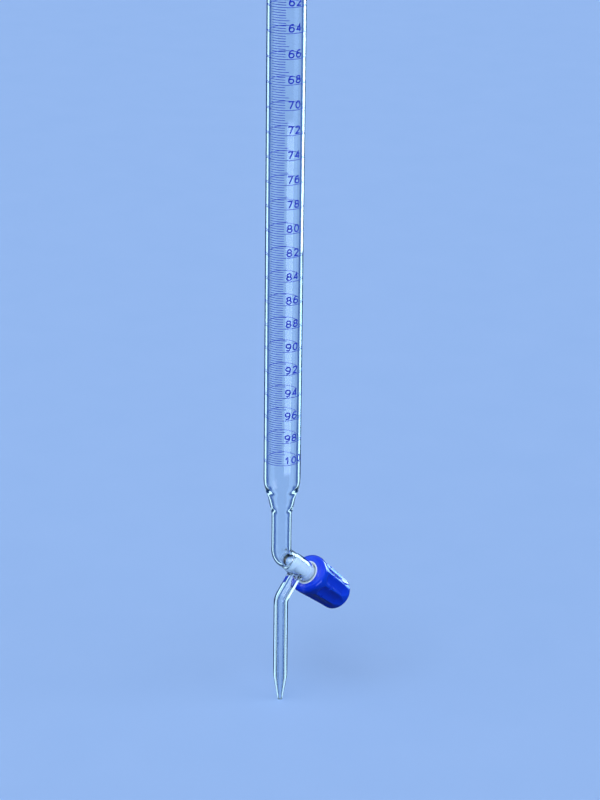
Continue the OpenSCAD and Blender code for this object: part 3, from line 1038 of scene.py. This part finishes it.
# %% Plunger
play = 0.1
piston_r, piston_start, piston_end, piston_bevel = 4.05, 12, 24, 0.5
shank_r, stem_r, button_r, button_h = 3.3, 2.5, 3.6, 2.2
button_end = knob_mouth + floor_at - play
button_start = button_end - button_h
seal_places, seal_floor_r, seal_half = (17, 20.6), 2.94, 0.6
needle = [(0, -1.2), (0.5, -1.2), (1.25, -0.18)]
plunger_corners = needle + [(shank_r, 1.87), (shank_r, piston_start)]
plunger_corners += [(piston_r - piston_bevel, piston_start), (piston_r, piston_start + piston_bevel)]
for spot in seal_places:
    low, high = spot - seal_half, spot + seal_half
    plunger_corners += [(piston_r, low), (seal_floor_r, low), (seal_floor_r, high), (piston_r, high)]
plunger_corners += [(piston_r, piston_end - piston_bevel), (piston_r - piston_bevel, piston_end)]
plunger_corners += [(stem_r, piston_end), (stem_r, button_start), (button_r, button_start)]
plunger_corners += [(button_r, button_end), (0, button_end)]
plunger_mesh = turned("turned_plunger", plunger_corners, cut=0.14)
add_piece(plunger_mesh, ptfe_finish, "plunger_body", "fluoropolymer", "plunger")

# %% Washer
washer_in_r, washer_h = 2.58, 0.8
washer_high = button_start - play
washer_low = washer_high - washer_h
washer_corners = [(washer_in_r, washer_low), (button_r, washer_low)]
washer_corners += [(button_r, washer_high), (washer_in_r, washer_high)]
washer_mesh = turned("slip_washer", washer_corners, cut=0.12, loop=True)
add_piece(washer_mesh, ptfe_finish, "knob_body", "fluoropolymer", "thrust_washer")

# %% [markdown]
# ## Seal rings and snap ring
#
# Moulded seal rings are squeezed flat where they touch the glass, so a round section is spun and its radius
# held below the bore's. The snap ring is cut open: its section is swept round most of a circle and shrinks
# to a point at both ends, which closes them with a small rounding.

# %% Seal rings
seal_mid_r, seal_section_r, squeeze_r = 3.52, 0.55, 4.07
for spot, node in zip(seal_places, ("front_seal_ring", "rear_seal_ring")):
    section = arc((seal_mid_r, spot), seal_section_r, 0, 360, 28)[:-1]
    rings = [valve_ring(place, min(r, squeeze_r)) for r, place in section]
    seal_mesh = build("squeezed_" + node, [skin(rings, loop=True)])
    add_piece(seal_mesh, rubber_finish, "plunger_body", "seal_rubber", node)

# %% Snap ring
snap_in_r, snap_out_r, snap_h, snap_gap, snap_steps = 2.7, 4.45, 1, 2.6, 90
snap_low, snap_high = washer_low - snap_h, washer_low
end_sizes = [0, 0.72, 0.93, 1]
corners = [(snap_in_r, snap_low), (snap_out_r, snap_low), (snap_out_r, snap_high), (snap_in_r, snap_high)]
section = np.array(soften(corners, cut=0.2, loop=True))
middle = section.mean(axis=0)
half_gap = math.asin(snap_gap / 2 / middle[0])
snap_sections = []
for i, a in enumerate(np.linspace(half_gap, 2 * math.pi - half_gap, snap_steps)):
    size = end_sizes[min(i, snap_steps - 1 - i, 3)]
    snap_sections.append([valve_ring(p, r, [a])[0] for r, p in middle + size * (section - middle)])
snap_mesh = build("split_snap_ring", [skin(snap_sections)], crease=35)
add_piece(snap_mesh, steel_finish, "knob_body", "ring_steel", "snap_ring")

# %% [markdown]
# ## Floor
#
# The object stands on a plain pale floor that runs out far beyond the picture, so that from any side the
# view ends in one colour. A faint mottle keeps it from looking like a flat fill. A pale floor would also
# light the knob from below and flatten it, so it is pale only for the camera and through the glass, and
# dark for light that bounces.

# %% Pale floor
floor_h, floor_reach = -0.0003, 60


def in_view(finish):
    """1 for rays from the camera and for rays through glass, 0 for light that bounces."""
    rays = [finish.node("LightPath", output=ray) for ray in ("Is Camera Ray", "Is Transmission Ray")]
    return rays[0] + rays[1]


def add_stage(name, points, faces, finish):
    """Puts a mesh into the scene that is no part of the object."""
    mesh = bpy.data.meshes.new(name)
    mesh.from_pydata(points, [], faces)
    mesh.materials.append(finish)
    made = bpy.data.objects.new(name, mesh)
    scene.collection.objects.link(made)
    made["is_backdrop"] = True
    print("stage has a", name)
    return made


floor_blue = new_finish("pale_floor")
mottle = floor_blue.noise(size=40)
pale = floor_blue.mix(mottle, (0.28, 0.45, 0.8, 1), (0.3, 0.47, 0.82, 1))
floor_finish = floor_blue.use(
    floor_blue.principled(
        base_color=floor_blue.mix(in_view(floor_blue), (0.02, 0.04, 0.1, 1), pale),
        roughness=0.8,
        specular_ior_level=0.0,
    )
)
corners = [(-1, -1), (1, -1), (1, 1), (-1, 1)]
floor_points = [(x * floor_reach, y * floor_reach, floor_h) for x, y in corners]
add_stage("floor", floor_points, [[0, 1, 2, 3]], floor_finish)

# %% [markdown]
# ## Light cards
#
# Clear glass has no colour of its own: one sees it by what its edges bend into view, and a glossy knob by
# what it mirrors. A photographer stands light and dark cards round such things. Many small lit planes could
# do it here too, but they would show in the picture and in each other. So the cards are areas of one wide
# bowl that only mirrored and bent rays see. Where a point of the bowl lies is told by its plan angle and by
# its way from the foot, out along the floor and then up the wall. Bowl lengths are metres.

# %% Places on the bowl
cards = new_finish("light_cards")
spot = cards.node("TexCoord", output="Object")
x, y, height = [cards.node("SeparateXYZ", sockets={0: spot}, output=axis) for axis in "XYZ"]
plan_angle = cards.node("Math", {"operation": "ARCTAN2"}, {0: y, 1: x})
from_foot = cards.node("Math", {"operation": "SQRT"}, {0: x * x + y * y})
way = from_foot + height
soft_cosine = 0.02


def towards_plan(aside):
    """Cosine of how far a card lies from so many degrees to the right of the camera's side."""
    away = plan_angle - (facing + math.radians(aside))
    return cards.node("Math", {"operation": "COSINE"}, {0: away})


def between(value, near, far):
    """1 where a cosine lies between those of two angles in degrees, with soft ends."""
    low, high = [math.cos(math.radians(angle)) for angle in (far, near)]
    from_low = cards.step(value, low - soft_cosine, low + soft_cosine)
    return from_low - cards.step(value, high - soft_cosine, high + soft_cosine)


ahead = towards_plan(180)
print("cards are counted from plan angle", round(math.degrees(facing), 1))

# %% [markdown]
# ## Cards that the tube and the knob mirror
#
# A wide strip to the right of the camera draws the soft line down the tube. Narrow cards behind, on the
# floor, draw the thin lines along the knob's ribs, one on the wall draws the streak on the barrel, and the
# bowl's pale upper part lights the knob's lip. Each card gives its side in degrees, its half width where it
# begins and where it is full, the ways where it fades in and out, and its colour.

# %% Mirrored cards
mirror_cards = {
    "tube line": (32, (23.07, 18.2), (0.284, 0.292), (0.95, 0.96), (1.2, 1.6, 2.1, 1)),
    "knob gleam": (162.5, (4.8, 3.14), (0.16, 0.18), (0.26, 0.28), (0.3, 0.45, 0.55, 1)),
    "rib lines": (135.5, (8.51, 6.49), (0.3, 0.32), (0.65, 0.7), (0.6, 1.3, 2.0, 1)),
    "barrel streak": (134.5, (13.59, 11.48), (0.7, 0.72), (1.4, 1.45), (1.8, 2.6, 3.0, 1)),
}
overhead = cards.step(height, 0.4, 0.7)
mirrored = cards.mix(overhead, (0.01, 0.02, 0.045, 1), (0.14, 0.27, 0.4, 1))
for aside, half_widths, fade_in_way, fade_out_way, colour in mirror_cards.values():
    edge = [math.cos(math.radians(half_width)) for half_width in half_widths]
    long_way = cards.step(way, *fade_in_way) - cards.step(way, *fade_out_way)
    mirrored = cards.mix(cards.step(towards_plan(aside), *edge) * long_way, mirrored, colour)
print("cards for", ", ".join(mirror_cards))

# %% [markdown]
# ## Cards that the glass bends into view
#
# How often a ray has passed a glass surface tells where it comes from: never is a mirrored ray, once or
# twice a ray bent in an edge, and more one that crossed the whole tube. Bent rays see dark and bright
# stripes, which draw the edge lines of the wall. The bowl clears for rays through the whole tube, but for a
# ring ahead that draws the wall's inner line, and for rays that leave near the rim, so that the open mouth
# stays clear from above. How far a ray came tells the height where it left the glass.

# %% Bent cards
rim_reach = 0.025
depth = cards.node("LightPath", output="Transmission Depth")
length = cards.node("LightPath", output="Ray Length")
in_glass, through = depth > 0.5, depth > 2.5
bright = between(ahead, 24, 48) + between(ahead, 95, 128)
bent = cards.mix(bright, (0.001, 0.012, 0.05, 1), (0.3, 0.46, 0.58, 1))
inner_line = (0.018, 0.046, 0.16, 1)
seen = cards.mix(in_glass, mirrored, cards.mix(through, bent, inner_line))
glow = cards.principled(
    base_color=(0, 0, 0, 1), specular_ior_level=0.0, emission_color=seen, emission_strength=3.0
)
fall = cards.node("Math", {"operation": "SQRT"}, {0: length * length - from_foot * from_foot})
from_rim = (height + fall > rim_h * MM - rim_reach) * in_glass
cleared = through * (1 - between(ahead, 17, 36)) + from_rim
clear = cards.node("BsdfTransparent")
card_finish = cards.use(cards.node("MixShader", sockets={0: cleared, 1: glow, 2: clear}))
print("made", card_finish.name)

# %% Bowl
bowl_r, bowl_wall, bowl_low = 0.9, 1.0, -0.00015
bowl_angles = np.linspace(0, 2 * math.pi, 96, endpoint=False)
bowl_rings = []
for r, h in [(0, bowl_low), (bowl_r, bowl_low), (bowl_r, bowl_wall)]:
    bowl_rings.append([(r * math.cos(a), r * math.sin(a), h) for a in bowl_angles])
points, faces = skin(bowl_rings)
bowl = add_stage("bowl", points.tolist(), faces, card_finish)
bowl.visible_camera = False
bowl.visible_diffuse = False
bowl.visible_shadow = False

# %% [markdown]
# ## Studio light
#
# The key light is broad and comes from the upper left, onto the knob's lip. A second one from the right
# models the flutes. Both are sun lamps with a wide angle, because their light is the same all over the
# floor, where an area lamp would leave a pool. The cards already give the highlights, so the lamps are
# hidden from mirrored rays. The world fills in evenly and shows the backdrop's colour past the floor.


# %% Lamps and world
def lamp(name, side, height, back, energy):
    """A broad sun lamp aimed at the valve, from that far to the right, up, and away from the camera."""
    data = bpy.data.lights.new(name, "SUN")
    data.energy = energy
    data.angle = 1.0
    made = bpy.data.objects.new(name, data)
    plan_back = Vector((-towards.x, -towards.y, 0)).normalized()
    offset = level_right * side + plan_back * back + Vector((0, 0, height))
    made.location = Vector(seat * MM) + offset
    made.rotation_euler = offset.to_track_quat("Z", "Y").to_euler()
    made.visible_glossy = False
    scene.collection.objects.link(made)
    made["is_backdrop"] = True
    print("lamp", name, "at", energy)


lamp("key", side=-0.5, height=1.6, back=-0.8, energy=2.0)
lamp("side", side=0.84, height=0.43, back=-0.33, energy=1.4)
sky = Finish(bpy.data.worlds.new("studio"))
scene.world = sky.owner
sky_colour = sky.mix(in_view(sky), (0.28, 0.3, 0.33, 1), (0.3, 0.48, 0.84, 1))
sky.node("OutputWorld", sockets={"Surface": sky.node("Background", sockets={"Color": sky_colour})})
scene.view_settings.view_transform = "Standard"

# %% [markdown]
# ## Size and finish
#
# The last step measures the box of the finished pieces.

# %% Size of the finished pieces
low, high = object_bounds()
